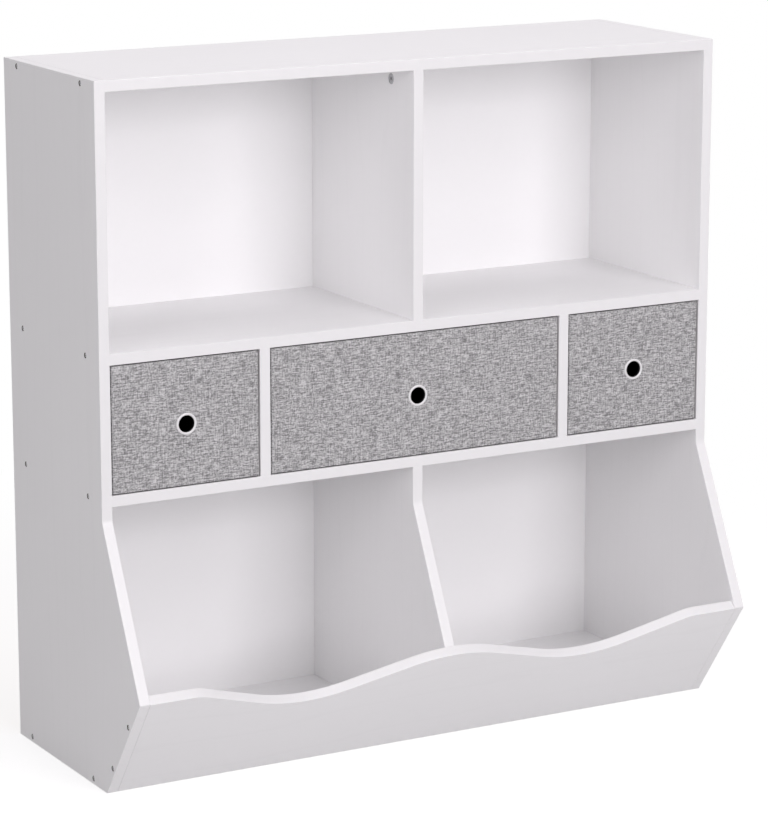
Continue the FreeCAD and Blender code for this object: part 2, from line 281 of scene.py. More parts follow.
def coat_board(piece, face, thin_axis):
    """Coating on the two broad faces, strips on the visible edges, chipboard on the rest."""
    dress(piece, face, EDGING, CHIPBOARD)
    for polygon in piece.data.polygons:
        if abs(polygon.normal[thin_axis]) < FACING:
            foot = polygon.normal.z < -FACING and polygon.center.z < NEAR_FLOOR
            polygon.material_index = RAW if foot or polygon.normal.y > FACING else EDGED


for board in CROSS_BOARDS + DIVIDERS:
    piece = welded(board, board + "_coated")
    low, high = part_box(board)
    along, thin_axis, face = (0, 2, MELAMINE_ACROSS) if board in CROSS_BOARDS else (
        2, 0, MELAMINE_UPRIGHT)
    with editing(piece):
        for depth in (SEATED_DEPTH, FREE_DEPTH):
            slice_at((0, FRONT_PLANE + depth, 0), (0, 1, 0))
    for vertex in piece.data.vertices:
        if low.z < NEAR_FLOOR or vertex.co.y > FRONT_PLANE + SEATED_DEPTH + HAIR:
            continue
        if vertex.co[along] < low[along] + HAIR:
            vertex.co[along] -= SEATING
        elif vertex.co[along] > high[along] - HAIR:
            vertex.co[along] += SEATING
    polish(piece, EASING)
    coat_board(piece, face, thin_axis)
    stand_for(piece, board, "cabinet")


# Side panels
#
# The same coated board, each cut in one piece from the floor to the top, with the nose that
# carries the leaning front panel. The screw holes are drilled after coating, and their walls
# are darkened as painted shade, for the dark ring round each screw head.

SCREW_LEVELS = (0.0075, 0.3895, 0.5745, 0.9225)
SCREW_DEPTHS = (-0.049, 0.151)
SCREW_PLACES = [(y, z) for z in SCREW_LEVELS for y in SCREW_DEPTHS]
SCREW_PLACES += [(-0.10989, 0.03935), (-0.15967, 0.10905)]
HOLE_REACH, SLOPED, HOLE_SHADE = 0.0042, 0.3, 3
# Chipboard darkened to a tenth for the walls of the screw holes: painted shade, the dark ring
# round each screw head.
HOLE_WALL_SHADE = raw_chipboard("hole_wall_painted_shade", 0.10)

for board in ("left_side_panel", "right_side_panel"):
    piece = welded(board, board + "_coated")
    polish(piece, EASING)
    coat_board(piece, MELAMINE_UPRIGHT, 0)
    dress(piece, HOLE_WALL_SHADE)
    for polygon in piece.data.polygons:
        middle, normal = polygon.center, polygon.normal
        near_screw = any(math.hypot(middle.y - y, middle.z - z) < HOLE_REACH
                         for y, z in SCREW_PLACES)
        # The walls of the screw holes take the darkened chipboard, as painted shade.
        if near_screw and abs(normal.x) < FACING:
            polygon.material_index = HOLE_SHADE
        elif normal.z > FACING or max(normal.y, normal.z) < -SLOPED:
            polygon.material_index = COATED
    stand_for(piece, board, "cabinet")


# Front wave panel
#
# Leaning coated board that closes the bins in front. Its top edge is routed to a wave with a
# middle crest, two troughs and flat shoulders, and a strip is glued round the wave.

PANEL_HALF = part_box("front_wave_panel")[1].x
BIN_REACH, NOSE_HEIGHT, BOARD = 0.105, 0.147, 0.015
PANEL_LENGTH = math.hypot(BIN_REACH, NOSE_HEIGHT)
LEAN_ANGLE = math.atan2(NOSE_HEIGHT, -BIN_REACH)
WAVE_DEPTH, WAVE_RADIUS, TROUGH_OFFSET = 0.048, 0.205, 0.2125
SHOULDER_OFFSET, SHOULDER_RADIUS = 0.387, 0.055
WAVE_CUTS, WAVE_EASING = (39, 8), 0.0007


def wave_height(x):
    """Height of the wavy edge along the panel, at a distance from its middle."""
    x = abs(x)
    crest_y, trough_y = PANEL_LENGTH - WAVE_RADIUS, PANEL_LENGTH - WAVE_DEPTH + WAVE_RADIUS
    shoulder_y = PANEL_LENGTH - SHOULDER_RADIUS
    if x >= SHOULDER_OFFSET:
        return PANEL_LENGTH
    runs = []
    for low, high, low_radius, high_radius, side in (
            ((0, crest_y), (TROUGH_OFFSET, trough_y), WAVE_RADIUS, WAVE_RADIUS, 1),
            ((TROUGH_OFFSET, trough_y), (SHOULDER_OFFSET, shoulder_y), WAVE_RADIUS,
             SHOULDER_RADIUS, -1)):
        gap = math.hypot(high[0] - low[0], high[1] - low[1])
        angle = math.atan2(high[1] - low[1], high[0] - low[0])
        angle += side * math.acos((low_radius + high_radius) / gap)
        runs.append((low[0] + low_radius * math.cos(angle), low[1] + low_radius * math.sin(angle),
                     high[0] - high_radius * math.cos(angle),
                     high[1] - high_radius * math.sin(angle)))
    for x0, y0, x1, y1 in runs:
        if x0 <= x <= x1:
            return y0 + (y1 - y0) * (x - x0) / (x1 - x0)
    if x < runs[0][0]:
        return crest_y + math.sqrt(WAVE_RADIUS ** 2 - x ** 2)
    if x < runs[1][0]:
        return trough_y - math.sqrt(WAVE_RADIUS ** 2 - (x - TROUGH_OFFSET) ** 2)
    return shoulder_y + math.sqrt(SHOULDER_RADIUS ** 2 - (x - SHOULDER_OFFSET) ** 2)


def choose(piece, kind, is_chosen):
    """Selects, in edit mode, only the faces or edges that pass the test."""
    bpy.ops.mesh.select_all(action="DESELECT")
    mesh = bmesh.from_edit_mesh(piece.data)
    mesh.normal_update()
    for part in getattr(mesh, kind):
        if is_chosen(part):
            part.select_set(True)
    mesh.select_flush_mode()
    bmesh.update_edit_mesh(piece.data)


def settle(piece, name):
    """Names the piece and puts its place and turn into its mesh."""
    piece.name = piece.data.name = name
    begin(piece)
    bpy.ops.object.transform_apply(location=True, rotation=True, scale=True)


def added(name, kind, **settings):
    """A new primitive, ready to be shaped."""
    bpy.ops.object.select_all(action="DESELECT")
    getattr(bpy.ops.mesh, "primitive_" + kind + "_add")(**settings)
    piece = bpy.context.object
    settle(piece, name)
    return piece


def block(name, low, high):
    """A plain block between two corners."""
    low, high = Vector(low), Vector(high)
    return added(name, "cube", size=1, location=(low + high) / 2, scale=high - low)


wave_panel = block("front_wave_panel_coated", (-PANEL_HALF, -2 * BOARD, -BOARD),
                   (PANEL_HALF, PANEL_LENGTH, 0))
with editing(wave_panel):
    for cuts in WAVE_CUTS:
        choose(wave_panel, "edges",
               lambda edge: abs(edge.verts[0].co.x - edge.verts[1].co.x) > HAIR)
        bpy.ops.mesh.subdivide(number_cuts=cuts)
for vertex in wave_panel.data.vertices:
    if vertex.co.y > PANEL_LENGTH - HAIR:
        vertex.co.y = wave_height(vertex.co.x)
wave_panel.rotation_euler = (LEAN_ANGLE, 0, 0)
wave_panel.location = (0, FRONT_PLANE, 0)
settle(wave_panel, "front_wave_panel_coated")
with editing(wave_panel):
    slice_at((0, 0, 0), (0, 0, 1), use_fill=True, clear_inner=True)
polish(wave_panel, WAVE_EASING)
dress(wave_panel, MELAMINE_ACROSS, EDGING, CHIPBOARD)
face_normal = Vector((0, -NOSE_HEIGHT, -BIN_REACH)).normalized()
for polygon in wave_panel.data.polygons:
    if abs(polygon.normal.dot(face_normal)) < FACING:
        polygon.material_index = RAW if polygon.center.z < NEAR_FLOOR / 2 else EDGED
stand_for(wave_panel, "front_wave_panel", "cabinet")


# Back panels
#
# 3 mm hard fibreboard, lacquered white towards the bays and raw brown behind, cut in three
# at the shelves and nailed to the rear edges. Each nail head is driven in flush.

DIVIDER_LINES = {"back_panel_bottom": [0], "back_panel_middle": [-0.229, 0.229],
                 "back_panel_top": [0]}
NAIL_INSET, NAIL_RADIUS, NAIL_DIMPLE = 0.0045, 0.0023, 0.0004
NAIL_HEAD, NAIL_SINK, NAIL_CROWN = 0.0006, 0.00035, 0.00012
NAIL_ROW, NAIL_RISE, DIVIDER_NAILS = 9, 0.13, (0.33, 0.67)
BACKWARDS = (math.radians(-90), 0, 0)
LACQUER_DEPTH, BACK_EASING = 0.0004, 0.0002
REAR_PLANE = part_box("top_board")[1].y


def fibreboard():
    """White lacquer in front; behind, brown pressed fibres with the weave of the press."""
    material, tree, surface = finish_named("lacquered_fibreboard")
    place = own_place(tree)
    depth = shader(tree, "SeparateXYZ", {"Vector": place}).outputs["Y"]
    rear = reckon(tree, "GREATER_THAN", depth, REAR_PLANE + LACQUER_DEPTH)
    fibres = noise(tree, place, 420.0, 5.0, Roughness=0.7, Distortion=1.5)
    brown = blend(tree, fibres, (0.25, 0.155, 0.085), (0.50, 0.345, 0.205))
    aged = ranged(tree, noise(tree, place, 14.0, 3.0), (0.86, 1.08))
    orange_peel = noise(tree, place, 160.0, 2.0)
    white = blend(tree, orange_peel, (0.922, 0.918, 0.922), (0.934, 0.930, 0.934))
    height = shader(tree, "Mix", {"Factor": rear, 2: orange_peel, 3: fibres},
                    data_type="FLOAT").outputs[0]
    fill(tree, surface, {
        "Base Color": blend(tree, rear, white, blend(tree, 1.0, brown, aged, "MULTIPLY")),
        "Roughness": ranged(tree, rear, (0.45, 0.82)),
        "Normal": relief(tree, height, 0.25, 0.0002),
        "Specular IOR Level": 0.3})
    return material


def zinc(name, tone, rough):
    """Zinc plating or casting with fine mottling."""
    material, tree, surface = finish_named(name)
    mottle = noise(tree, own_place(tree), 1500.0, 3.0)
    fill(tree, surface, {
        "Base Color": blend(tree, mottle, (tone * 0.82, tone * 0.82, tone * 0.84),
                            (tone * 1.12, tone * 1.12, tone * 1.14)),
        "Roughness": ranged(tree, mottle, (rough - 0.08, rough + 0.12)),
        "Normal": relief(tree, mottle, 0.15, 0.0001),
        "Metallic": 1.0})
    return material


FIBREBOARD = fibreboard()
ZINC_PLATE = zinc("zinc_plate", 0.55, 0.34)


def nail_places(low, high, divider_lines):
    """Nails round one panel's edge and up the dividers behind it."""
    left, right = low.x + NAIL_INSET, high.x - NAIL_INSET
    foot, top = low.z + NAIL_INSET, high.z - NAIL_INSET
    step = (right - left) / (NAIL_ROW - 1)
    places = [(left + step * count, z) for count in range(NAIL_ROW) for z in (foot, top)]
    rises = max(1, round((top - foot) / NAIL_RISE))
    for count in range(1, rises):
        places += [(x, foot + (top - foot) * count / rises) for x in (left, right)]
    for x in divider_lines:
        places += [(x, foot + (top - foot) * part) for part in DIVIDER_NAILS]
    return places


def joined(pieces, name):
    """Several pieces made one."""
    bpy.ops.object.select_all(action="DESELECT")
    for piece in pieces:
        piece.select_set(True)
    bpy.context.view_layer.objects.active = pieces[0]
    bpy.ops.object.join()
    settle(pieces[0], name)
    return pieces[0]


def twin(piece, shift=(0, 0, 0)):
    """A copy of a piece with a mesh of its own, moved to its place."""
    copy = placed(piece.name, piece.data.copy())
    copy.data.transform(Matrix.Translation(shift))
    return copy


def cut_away(piece, tool):
    """Cuts the tool's shape out of the piece and removes the tool."""
    apply_modifier(piece, "BOOLEAN", operation="DIFFERENCE", solver="EXACT", object=tool)
    bpy.data.objects.remove(tool)


def smooth(piece, degrees):
    """Smooth shading, with the sharper edges kept."""
    begin(piece)
    bpy.ops.object.shade_smooth_by_angle(angle=math.radians(degrees))


pit = added("pit", "cone", vertices=16, radius1=NAIL_RADIUS * 0.9, radius2=NAIL_RADIUS * 1.7,
            depth=2 * NAIL_DIMPLE, rotation=BACKWARDS)
nail = added("nail", "cylinder", vertices=16, radius=NAIL_RADIUS, depth=NAIL_HEAD,
             rotation=BACKWARDS)
with editing(nail):
    choose(nail, "faces", lambda face: face.normal.y > FACING)
    bpy.ops.mesh.inset(thickness=NAIL_RADIUS * 0.4)
for vertex in nail.data.vertices:
    if vertex.co.y > 0 and math.hypot(vertex.co.x, vertex.co.z) > NAIL_RADIUS * 0.8:
        vertex.co.y -= NAIL_CROWN

for board, divider_lines in DIVIDER_LINES.items():
    low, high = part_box(board)
    piece = welded(board, board + "_nailed")
    places = nail_places(low, high, divider_lines)
    cut_away(piece, joined([twin(pit, (x, high.y, z)) for x, z in places], "pits"))
    polish(piece, BACK_EASING, segments=1, turn=50)
    dress(piece, FIBREBOARD)
    stand_for(piece, board, "cabinet")

    heads = joined([twin(nail, (x, high.y - NAIL_SINK, z)) for x, z in places], board + "_nails")
    smooth(heads, 40)
    dress(heads, ZINC_PLATE)
    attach(heads, "cabinet")
for pattern in (pit, nail):
    bpy.data.objects.remove(pattern)


# Case screws
#
# Zinc-plated connecting screws with a flat head and a 2.5 mm hexagon socket, driven through the
# side panels into the ends of the shelves and the front panel, their heads just under flush.

HEAD_RADIUS, HEAD_HEIGHT, HEAD_SINK, HEAD_CHAMFER = 0.0027, 0.0038, 0.0006, 0.0003
SOCKET_ACROSS, SOCKET_DEPTH = 0.0025, 0.0018
CORE_RADIUS, THREAD_RADIUS, THREAD_PITCH, THREAD_TURNS = 0.0024, 0.0034, 0.0029, 13
SCREW_LENGTH, POINT_LENGTH, POINT_RADIUS = 0.050, 0.003, 0.0004
HEAD_FOOT, CORE_TOP = -0.006, -0.005
RIDGE_HALF, RIDGE_ROOT, THREAD_START = 0.0007, 0.0002, 0.0025
SCREW_SPIN = 23  # degrees by which each socket is turned on from the last


def turned_bar(name, rings):
    """A round bar along Z from (radius, height) rings, closed at both ends."""
    piece = added(name, "circle", vertices=36, radius=rings[0][0], fill_type="NGON",
                  location=(0, 0, rings[0][1]))
    with editing(piece):
        for (last_radius, last_height), (radius, height) in zip(rings, rings[1:]):
            bpy.ops.mesh.extrude_region_move(
                TRANSFORM_OT_translate={"value": (0, 0, height - last_height)})
            ratio = radius / last_radius
            bpy.ops.transform.resize(value=(ratio, ratio, 1), center_override=(0, 0, height))
        bpy.ops.mesh.select_all(action="SELECT")
        bpy.ops.mesh.normals_make_consistent(inside=False)
    return piece


def prism(name, corners, radius, low, high):
    """A straight prism along Z, used as a cutter."""
    return added(name, "cylinder", vertices=corners, radius=radius, depth=high - low,
                 location=(0, 0, (low + high) / 2))


def connecting_screw():
    """One screw along Z with its head's face at zero."""
    top = -HEAD_SINK
    head = turned_bar("screw_head", [(CORE_RADIUS, HEAD_FOOT), (HEAD_RADIUS, top - HEAD_HEIGHT),
                                     (HEAD_RADIUS, top - HEAD_CHAMFER),
                                     (HEAD_RADIUS - HEAD_CHAMFER, top)])
    cut_away(head, prism("socket", 6, SOCKET_ACROSS / math.sqrt(3), top - SOCKET_DEPTH,
                         top + SOCKET_DEPTH))
    core = turned_bar("screw_core", [(POINT_RADIUS, -SCREW_LENGTH),
                                     (CORE_RADIUS, -SCREW_LENGTH + POINT_LENGTH),
                                     (CORE_RADIUS, CORE_TOP)])
    ridge = bpy.data.meshes.new("ridge")
    foot, root = -SCREW_LENGTH + THREAD_START, CORE_RADIUS - RIDGE_ROOT
    ridge.from_pydata([(root, 0, foot), (THREAD_RADIUS, 0, foot + RIDGE_HALF),
                       (root, 0, foot + 2 * RIDGE_HALF)], [(0, 1), (1, 2), (2, 0)], [])
    thread = placed("screw_thread", ridge)
    apply_modifier(thread, "SCREW", axis="Z", angle=math.radians(360), steps=12, render_steps=12,
                   iterations=THREAD_TURNS, screw_offset=THREAD_PITCH)
    with editing(thread):
        bpy.ops.mesh.remove_doubles(threshold=WELD)
        bpy.ops.mesh.select_all(action="DESELECT")
        bpy.ops.mesh.select_non_manifold()
        bpy.ops.mesh.fill()
        bpy.ops.mesh.select_all(action="SELECT")
        bpy.ops.mesh.normals_make_consistent(inside=False)
    screw = joined([head, core, thread], "connecting_screw")
    smooth(screw, 35)
    return screw


pattern = connecting_screw()
screws = []
for side in (-1, 1):
    for count, (y, z) in enumerate(SCREW_PLACES):
        spin = Matrix.Rotation(math.radians(SCREW_SPIN * count), 4, "Z")
        turn = Matrix.Rotation(math.radians(90 * side), 4, "Y")
        screws.append(twin(pattern))
        screws[-1].data.transform(Matrix.Translation((side * (PANEL_HALF + BOARD), y, z))
                                  @ turn @ spin)
bpy.data.objects.remove(pattern)
screws = joined(screws, "connecting_screws")
dress(screws, ZINC_PLATE)
stand_for(screws, "case_screws", "cabinet")


# Cam locks, cam bolts and dowels
#
# Die-cast cams with a cross recess sit flush in the upper divider's left face and pull on
# steel bolts in the top board. Fluted beech dowels carry the dividers. Bolts and dowels are
# wholly inside the boards.

CAM_RADIUS, CAM_EASING, CAM_NECK = 0.0074, 0.0004, 0.0050
CAM_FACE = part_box("cam_locks")[0].x
CAM_DEPTHS, CAM_LEVEL = (-0.030, 0.132), 0.898
CAM_RINGS = [(CAM_RADIUS, -0.0123), (CAM_RADIUS, -0.0072), (CAM_NECK, -0.0070),
             (CAM_NECK, -0.0042), (CAM_RADIUS, -0.0040), (CAM_RADIUS, -CAM_EASING),
             (CAM_RADIUS - CAM_EASING, 0)]
CAM_RIM, RECESS_DEPTH, RECESS_ANGLES = 0.0012, 0.0005, (45, 135)
SLOT_LOW, SLOT_HIGH = (-0.0036, -0.0006, -0.0030), (0.0036, 0.0006, 0.0010)


def cam_lock():
    """One cam along Z with its face at zero."""
    cam = turned_bar("cam", CAM_RINGS)
    cut_away(cam, prism("recess", 32, CAM_RADIUS - CAM_RIM, -RECESS_DEPTH, RECESS_DEPTH))
    for angle in RECESS_ANGLES:
        slot = block("slot", SLOT_LOW, SLOT_HIGH)
        slot.data.transform(Matrix.Rotation(math.radians(angle), 4, "Z"))
        cut_away(cam, slot)
    smooth(cam, 35)
    return cam


def beech():
    """Pale beech with short flecks along the dowel."""
    material, tree, surface = finish_named("beech_dowel")
    fleck = noise(tree, mapped(tree, own_place(tree), Scale=(1, 1, 0.15)), 2200.0, 3.0)
    fill(tree, surface, {"Base Color": blend(tree, fleck, (0.56, 0.36, 0.20), (0.82, 0.64, 0.44)),
                         "Roughness": 0.7, "Normal": relief(tree, fleck, 0.3, 0.0001)})
    return material


def refinish(node, material):
    """A CAD node keeps its shape and gets this finish."""
    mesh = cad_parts[node].data
    mesh.materials.clear()
    mesh.materials.append(material)


ZINC_CASTING = zinc("zinc_casting", 0.56, 0.48)

pattern = cam_lock()
cams = [twin(pattern) for y in CAM_DEPTHS]
bpy.data.objects.remove(pattern)
for cam, y in zip(cams, CAM_DEPTHS):
    cam.data.transform(Matrix.Translation((CAM_FACE, y, CAM_LEVEL))
                       @ Matrix.Rotation(math.radians(-90), 4, "Y"))
cams = joined(cams, "cam_locks_cast")
dress(cams, ZINC_CASTING)
stand_for(cams, "cam_locks", "cabinet")
refinish("cam_bolts", ZINC_PLATE)
refinish("divider_dowels", beech())


# Fabric drawers
#
# A box of grey board slipped into a sewn cover of grey linen-look cloth. The cover's bottom
# and the lower turn of its fold take the charcoal lining colour as painted shade, for the dark
# line under each drawer. The cloth is drawn tight over the boards, turned in over the rim and
# stitched down onto the lining.

DRAWERS = ("left_drawer", "middle_drawer", "right_drawer")
FOLD_RADIUS, RIM_WIDTH, HEM, SHADE_FOLD_TURN = 0.0023, 0.0049, 0.013, -0.3
CLOTH, GRID_STEP, SLICE_MARGIN, YARN_PITCH = 0.0009, 0.018, 0.01, 0.0011
RIPPLE, RIPPLE_SKIN, RIPPLE_EDGE, RIPPLE_REACH = 0.00022, 0.003, 0.004, 0.03
ON_FACE, FIRST_SEED, SEED_STEP = 0.0001, 1.3, 2.1
SIDE_SHIFT, REVERSE_SHIFT = 0.37, 0.19  # between the cloth of one side and the next
BAG_CLOTH, BAG_SEAM_RADIUS, BAG_GRID_STEP = 0.0004, 0.003, 0.012
SLACK, SLACK_SPREAD, SLACK_REACH = 0.0005, 0.0007, 0.05
CREASE, CREASE_REACH, CREASE_TURN = 0.0005, 0.03, 260
FLOOR_PUFF, PUFF_REACH = 0.0006, 0.02
STITCH_LEVEL, STITCH_PITCH, STITCH_CORNER = 0.0095, 0.0042, 0.008
STITCH_LENGTH, STITCH_SIZE = 0.0015, (0.00028, 0.00028, 0.00032)
EYELET_RISE, EYELET_BORE, HOLE_RADIUS, HOLE_LENGTH = 0.0825, 0.01125, 0.0122, 0.02
BARREL_ENDS, SLEEVE_RADIUS, SLEEVE_DEPTH = (0.0012, 0.0034), 0.0120, 0.0040
FRONT_LIP = (0.012875, 0.001625, 0.0, -0.0012, 12, 0.8)
REAR_LIP = (0.012575, -0.001325, 0.0041, 0.0009, 8, 1.0)


def woven_threads():
    """Linen-look cloth from UV in metres: uneven threads both ways, as a tone and a height."""
    tree, given, result = effect_named("woven_threads", "Tone", "Height")
    tone = 0.0
    for scale, detail, seed, size, weight in (
            ((0.15, 1.0, 1), 1.0, 3.0, 520.0, 0.30), ((0.26, 1.0, 1), 1.0, 13.0, 900.0, 0.17),
            ((1.0, 0.16, 1), 1.0, 8.0, 520.0, 0.18), ((1.0, 0.26, 1), 1.0, 21.0, 900.0, 0.11),
            ((0.7, 1.0, 1), 1.0, 27.0, 480.0, 0.20), ((1.0, 1.0, 1), 2.0, 34.0, 28.0, 0.04)):
        place = mapped(tree, given, Scale=scale, Location=(seed, seed * 0.7, 0))
        streaks = shader(tree, "TexNoise", {"Vector": place, "Scale": size, "Detail": detail,
                                            "Roughness": 0.55}, noise_dimensions="2D")
        tone = reckon(tree, "MULTIPLY_ADD", streaks.outputs["Fac"], weight, tone)
    tone = ranged(tree, tone, (0.0, 1.0), (0.40, 0.60))

    axes = shader(tree, "SeparateXYZ", {"Vector": given}).outputs
    ridges = []
    for along, across in (("X", "Y"), ("Y", "X")):
        angles = [reckon(tree, "MULTIPLY", axes[axis], 2 * math.pi / YARN_PITCH)
                  for axis in (along, across)]
        ridges.append(reckon(tree, "MULTIPLY", reckon(tree, "SINE", angles[0]),
                             reckon(tree, "COSINE", angles[1])))
    weave = reckon(tree, "MAXIMUM", *ridges)
    fill(tree, result, {"Tone": tone, "Height": reckon(tree, "MULTIPLY_ADD", weave, 0.5, tone)})
    return tree


THREADS = woven_threads()


def linen():
    """Grey melange cloth: pale and dark yarns twisted together, matt with a little sheen."""
    material, tree, surface = finish_named("grey_linen")
    threads = shader(tree, "Group", {"Vector": shader(tree, "UVMap").outputs["UV"]},
                     node_tree=THREADS).outputs
    colour = shader(tree, "ValToRGB", {"Fac": threads["Tone"]})
    stops = colour.color_ramp.elements
    stops[0].position, stops[0].color = 0.0, (0.195, 0.193, 0.195, 1)
    stops[1].position, stops[1].color = 1.0, (0.612, 0.608, 0.612, 1)
    stops.new(0.5).color = (0.382, 0.379, 0.382, 1)
    fill(tree, surface, {"Base Color": colour.outputs["Color"], "Roughness": 0.9,
                         "Normal": relief(tree, threads["Height"], 0.5, 0.00025),
                         "Specular IOR Level": 0.15, "Sheen Weight": 0.15,
                         "Sheen Roughness": 0.5})
    return material


def lining_felt_and_fold_shade():
    """Thin charcoal non-woven cloth with the dimples of its heat-bonding roll; on the cover's
    lower fold it is painted shade.
    """
    material, tree, surface = finish_named("lining_felt_and_fold_shade")
    place = shader(tree, "UVMap").outputs["UV"]
    fibres = noise(tree, place, 900.0, 4.0, Roughness=0.7)
    dimples = shader(tree, "TexVoronoi", {"Vector": place, "Scale": 420.0, "Randomness": 0.1},
                     voronoi_dimensions="2D").outputs["Distance"]
    pits = ranged(tree, dimples, (0.0, 1.0), (0.12, 0.34))
    charcoal = blend(tree, fibres, (0.035, 0.034, 0.037), (0.085, 0.083, 0.088))
    pressed = blend(tree, 1.0, charcoal, ranged(tree, pits, (0.72, 1.0)), "MULTIPLY")
    fill(tree, surface, {"Base Color": pressed, "Roughness": 0.95, "Specular IOR Level": 0.1,
                         "Normal": relief(tree, pits, 0.4, 0.0002)})
    return material


def sewing_thread():
    """Pale grey polyester thread with its twist."""
    material, tree, surface = finish_named("sewing_thread")
    twist = shader(tree, "TexWave", {"Vector": own_place(tree), "Scale": 900.0,
                                     "Distortion": 2.0}, bands_direction="DIAGONAL")
    fill(tree, surface, {"Base Color": blend(tree, twist.outputs["Fac"], (0.34, 0.33, 0.34),
                                             (0.60, 0.58, 0.60)), "Roughness": 0.6})
    return material


def grey_board():
    """Recycled grey board with specks of paper."""
    material, tree, surface = finish_named("grey_board")
    specks = noise(tree, own_place(tree), 600.0, 4.0)
    fill(tree, surface, {"Base Color": blend(tree, specks, (0.42, 0.40, 0.37),
                                             (0.68, 0.66, 0.62)), "Roughness": 0.9})
    return material


def ring_plastic(name, colour, haze_size, rough, **inputs):
    """Moulded plastic in one colour, with a slightly uneven gloss."""
    material, tree, surface = finish_named(name)
    haze = noise(tree, own_place(tree), haze_size, 2.0)
    fill(tree, surface, {"Base Color": (*colour, 1), "Roughness": ranged(tree, haze, rough),
                         **inputs})
    return material


LINEN = linen()
LINING_AND_FOLD_SHADE = lining_felt_and_fold_shade()
STITCH = sewing_thread()
GREY_BOARD = grey_board()
RING_WHITE = ring_plastic("ring_gloss", (0.74, 0.736, 0.74), 500.0, (0.16, 0.26),
                          **{"Coat Weight": 0.3})
# Near-black plastic for the ring's barrel and inner lip: painted shade that keeps the bore dark.
RING_SHADE = ring_plastic("ring_back_painted_shade", (0.012, 0.012, 0.013), 900.0, (0.45, 0.60),
                          **{"Specular IOR Level": 0.25})


def slice_up(piece, low, high, step):
    """Cuts the large faces of a cloth box into small ones, so that they can ripple."""
    with editing(piece):
        for axis in range(3):
            start, length = low[axis] + SLICE_MARGIN, high[axis] - low[axis] - 2 * SLICE_MARGIN
            cuts = int(length / step)
            normal = [float(axis == other) for other in range(3)]
            for count in range(cuts + 1):
                level = start + length * count / cuts
                slice_at([level * part for part in normal], normal)


def lay_cloth(piece):
    """UV in metres, each face laid flat along the two axes that it faces least."""
    while piece.data.uv_layers:
        piece.data.uv_layers.remove(piece.data.uv_layers[0])
    layer = piece.data.uv_layers.new(name="cloth")
    for polygon in piece.data.polygons:
        sizes = [abs(part) for part in polygon.normal]
        facing = sizes.index(max(sizes))
        across, up = ((1, 2), (0, 2), (0, 1))[facing]
        shift = SIDE_SHIFT * facing + (REVERSE_SHIFT if polygon.normal[facing] > 0 else 0.0)
        for loop in polygon.loop_indices:
            place = piece.data.vertices[piece.data.loops[loop].vertex_index].co
            layer.data[loop].uv = (place[across] + shift, place[up] + shift)


def ripple(x, y, z, seed):
    """Smooth unevenness of stretched cloth between -1 and 1."""
    return (math.sin(31 * x + 17 * z + seed) * math.sin(43 * y - 23 * z + 2 * seed)
            + 0.6 * math.sin(71 * z + 29 * x - seed) * math.cos(59 * x + 47 * y)) / 1.6


def from_sides(vertex, low, high):
    """Distances of a point from the four upright sides of its box."""
    return vertex.x - low.x, high.x - vertex.x, vertex.y - low.y, high.y - vertex.y


def cloth_cover(name, low, high, seed):
    """The outer cloth: a box whose rim is rolled in and runs down inside as a hem."""
    piece = block(name + "_cloth", low, high)

    def outer(vertex):
        return sum(distance < HAIR for distance in from_sides(vertex.co, low, high)) == 2

    def on_hem(vertex):
        return vertex.co.z > high.z - HAIR and not outer(vertex)

    with editing(piece, "FACE"):
        choose(piece, "faces", lambda face: face.normal.z > FACING)
        bpy.ops.mesh.inset(thickness=RIM_WIDTH)
        bpy.ops.mesh.extrude_region_move(TRANSFORM_OT_translate={"value": (0, 0, -HEM)})
        bpy.ops.mesh.delete(type="FACE")
        bpy.ops.mesh.select_mode(type="EDGE")
        choose(piece, "edges", lambda edge: all(outer(vertex) for vertex in edge.verts)
               or all(on_hem(vertex) for vertex in edge.verts))
        bpy.ops.mesh.bevel(offset=FOLD_RADIUS, segments=4, affect="EDGES")
    slice_up(piece, low, high, GRID_STEP)
    lay_cloth(piece)
    for vertex in piece.data.vertices:
        x, y, z = vertex.co
        sides = from_sides(vertex.co, low, high)
        if min(sides) > RIPPLE_SKIN or min(z - low.z, high.z - z) < RIPPLE_EDGE:
            continue
        reach = min(1.0, (z - low.z) / RIPPLE_REACH, (high.z - z) / RIPPLE_REACH)
        swell = RIPPLE * reach * ripple(x, y, z, seed)
        if min(sides[:2]) < ON_FACE:
            vertex.co.x += swell
        elif min(sides[2:]) < ON_FACE:
            vertex.co.y += swell
    apply_modifier(piece, "SOLIDIFY", thickness=CLOTH, offset=-1, use_even_offset=True)
    smooth(piece, 40)
    return piece


def bag_lining(name, low, high, seed):
    """The inner bag, open at the top, a little loose between its seams."""
    piece = block(name + "_bag", low, high)
    with editing(piece, "FACE"):
        choose(piece, "faces", lambda face: face.normal.z > FACING)
        bpy.ops.mesh.delete(type="FACE")
        bpy.ops.mesh.select_mode(type="EDGE")
        choose(piece, "edges", lambda edge: len(edge.link_faces) == 2)
        bpy.ops.mesh.bevel(offset=BAG_SEAM_RADIUS, segments=3, affect="EDGES")
    slice_up(piece, low, high, BAG_GRID_STEP)
    lay_cloth(piece)
    for vertex in piece.data.vertices:
        x, y, z = vertex.co
        sides = from_sides(vertex.co, low, high)
        drop = min(1.0, (high.z - z) / SLACK_REACH)
        fold = SLACK + SLACK_SPREAD * ripple(1.7 * x, 1.7 * y, 1.3 * z, seed)
        fold += (CREASE * max(0.0, 1 - (z - low.z) / CREASE_REACH)
                 * math.sin(CREASE_TURN * (x + y)))
        fold = max(0.0, fold) * drop
        if min(sides) < ON_FACE:
            side = [distance < ON_FACE for distance in sides].index(True)
            vertex.co[side // 2] += -fold if side % 2 else fold
        elif z - low.z < ON_FACE:
            rise = min(1.0, min(sides) / PUFF_REACH)
            vertex.co.z += FLOOR_PUFF * rise * (1 + ripple(x, y, z, seed + 1))
    apply_modifier(piece, "SOLIDIFY", thickness=BAG_CLOTH, offset=-1)
    smooth(piece, 50)
    return piece


